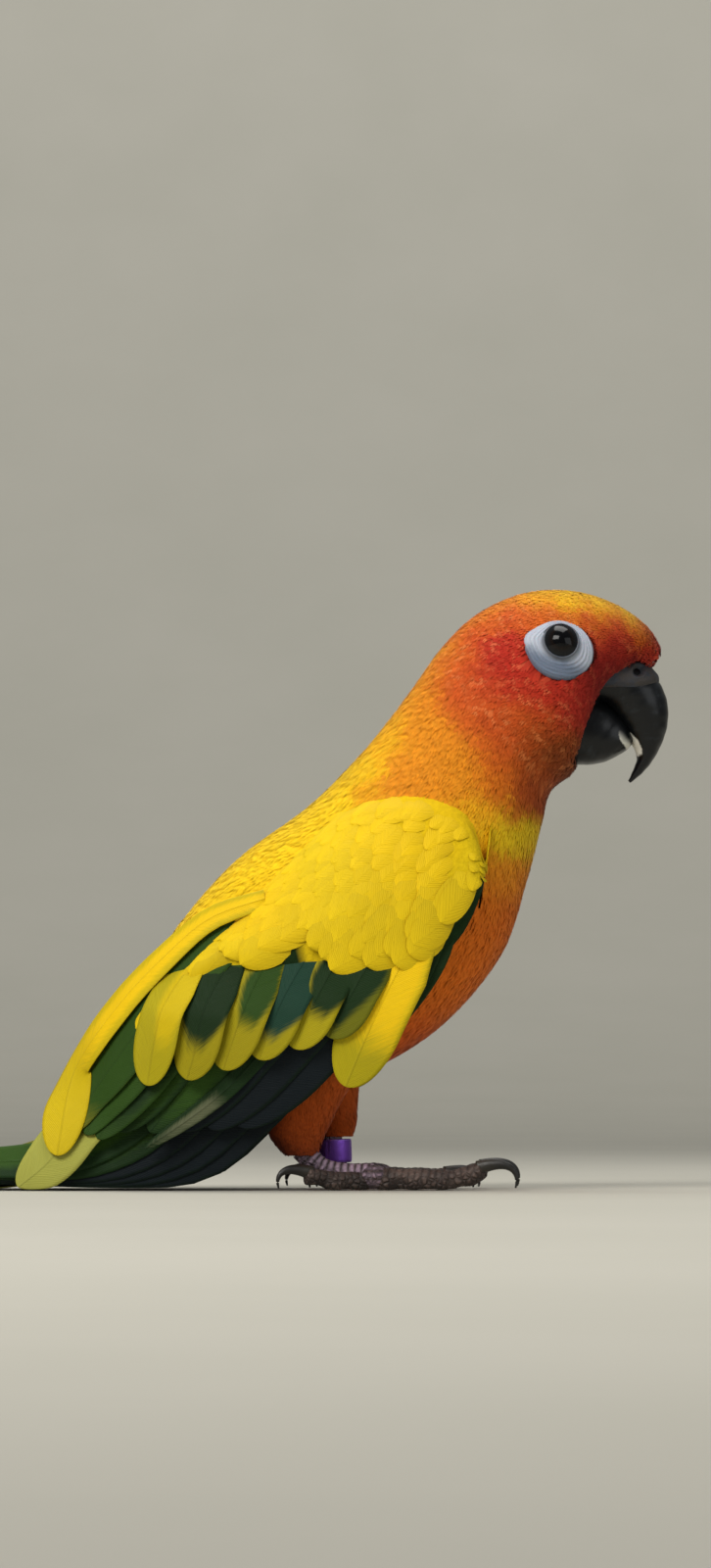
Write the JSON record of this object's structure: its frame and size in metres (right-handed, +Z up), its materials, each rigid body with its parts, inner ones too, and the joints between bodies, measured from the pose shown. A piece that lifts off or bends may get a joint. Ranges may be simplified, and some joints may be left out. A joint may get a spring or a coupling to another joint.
{
  "type": "sun conure",
  "caption": "Still life-size model of a small long-tailed parrot standing in profile, wings folded and tail laid along the floor, yellow, orange and green.",
  "frame": {"origin": "middle of the footprint, on the floor that the feet and the tail rest on", "axes": "+X the way the bird faces, from tail to bill; +Y the bird's left; +Z up"},
  "size_m": [0.2306, 0.0532, 0.1118],
  "materials": {
    "head_feathers": "soft feathers, deep red face to orange-yellow crown",
    "neck_feathers": "soft feathers, orange to yellow",
    "body_feathers": "soft feathers, yellow back, orange breast and belly",
    "wing_feathers": "smooth vanes, yellow with green and blue-black flight feathers",
    "tail_feathers": "smooth vanes, olive green with dark blue tips",
    "bill": "charcoal horn, scuffed, satin",
    "cere": "bare grey-brown skin, matt",
    "bare_ring": "bare skin, white to pale blue-grey",
    "eye": "wet, near black",
    "foot_scales": "brown-grey scaled skin",
    "claw": "dark horn, satin",
    "leg_band": "purple anodised, satin, blank"
  },
  "bodies": {
    "root": {"head": "head_feathers", "neck": "neck_feathers", "torso": "body_feathers", "tail": "tail_feathers", "bill_upper": "bill", "bill_lower": "bill", "cere": "cere", "leg_band": "leg_band", "eye_right": "eye", "eye_ring_right": "bare_ring", "wing_right": "wing_feathers", "thigh_right": "body_feathers", "foot_right": "foot_scales", "toe_front_outer_right": "foot_scales", "claw_front_outer_right": "claw", "toe_front_inner_right": "foot_scales", "claw_front_inner_right": "claw", "toe_hind_outer_right": "foot_scales", "claw_hind_outer_right": "claw", "toe_hind_inner_right": "foot_scales", "claw_hind_inner_right": "claw", "eye_left": "eye", "eye_ring_left": "bare_ring", "wing_left": "wing_feathers", "thigh_left": "body_feathers", "foot_left": "foot_scales", "toe_front_outer_left": "foot_scales", "claw_front_outer_left": "claw", "toe_front_inner_left": "foot_scales", "claw_front_inner_left": "claw", "toe_hind_outer_left": "foot_scales", "claw_hind_outer_left": "claw", "toe_hind_inner_left": "foot_scales", "claw_hind_inner_left": "claw"}
  },
  "joints": []
}
